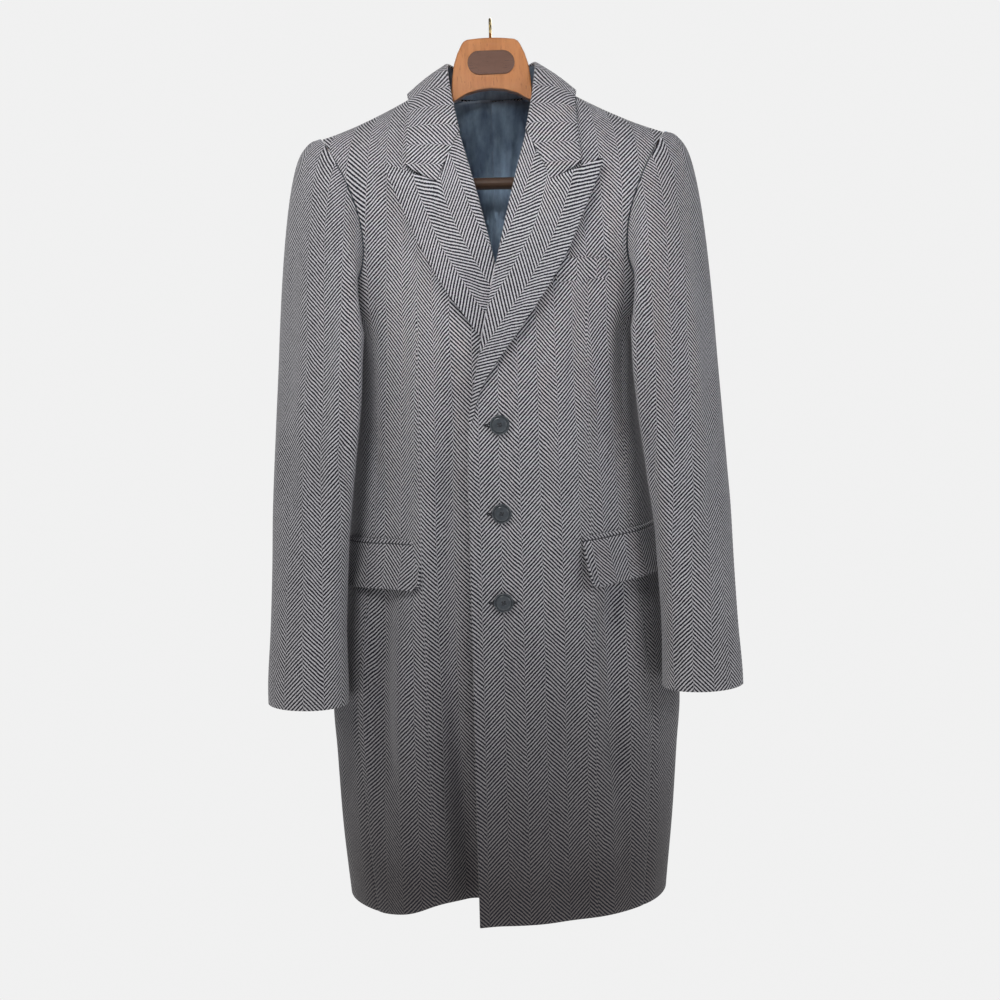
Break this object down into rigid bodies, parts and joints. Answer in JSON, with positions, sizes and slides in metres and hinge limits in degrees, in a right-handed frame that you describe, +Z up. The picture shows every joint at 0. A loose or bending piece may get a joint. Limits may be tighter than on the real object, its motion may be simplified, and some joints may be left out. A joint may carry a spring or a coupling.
{
  "type": "men's single-breasted peak-lapel herringbone wool overcoat on its broad wooden coat hanger",
  "caption": "Knee-length herringbone wool overcoat with peak lapels, flap pockets, breast welt and buttoned cuffs, hanging on a broad wooden hanger with a brass hook.",
  "frame": {"origin": "inside top of the hanger's hook, where a rail carries it", "axes": "+Z up, -Y towards the coat's front, +X towards the wearer's left"},
  "size_m": [0.5572, 0.2577, 1.0441],
  "materials": {
    "wool": "soft herringbone wool in light and dark grey, low sheen and short nap",
    "satin": "dark blue satin lining",
    "horn": "dark blue-grey horn, low gloss",
    "wood": "warm brown wood under clear varnish",
    "dark_wood": "dark brown wood, satin varnish",
    "plate": "bare darker plate, satin",
    "brass": "polished wire"
  },
  "bodies": {
    "root": {"front_left": "wool", "front_right": "wool", "back_left": "wool", "back_right": "wool", "side_left": "wool", "side_right": "wool", "topsleeve_left": "wool", "topsleeve_right": "wool", "undersleeve_left": "wool", "undersleeve_right": "wool", "lapel_left": "wool", "lapel_right": "wool", "collar": "wool", "collar_stand": "wool", "pocket_flap_left": "wool", "pocket_flap_right": "wool", "pocket_jet_left": "wool", "pocket_jet_right": "wool", "breast_welt": "wool", "lining": "satin", "button_1": "horn", "button_2": "horn", "button_3": "horn", "cuff_button_left_1": "horn", "cuff_button_left_2": "horn", "cuff_button_left_3": "horn", "cuff_button_left_4": "horn", "cuff_button_right_1": "horn", "cuff_button_right_2": "horn", "cuff_button_right_3": "horn", "cuff_button_right_4": "horn", "hanger_head": "wood", "hanger_arm_left": "wood", "hanger_arm_right": "wood", "hanger_bar": "dark_wood", "bar_post_left": "dark_wood", "bar_post_right": "dark_wood", "hanger_plate": "plate", "hook": "brass"}
  },
  "joints": []
}
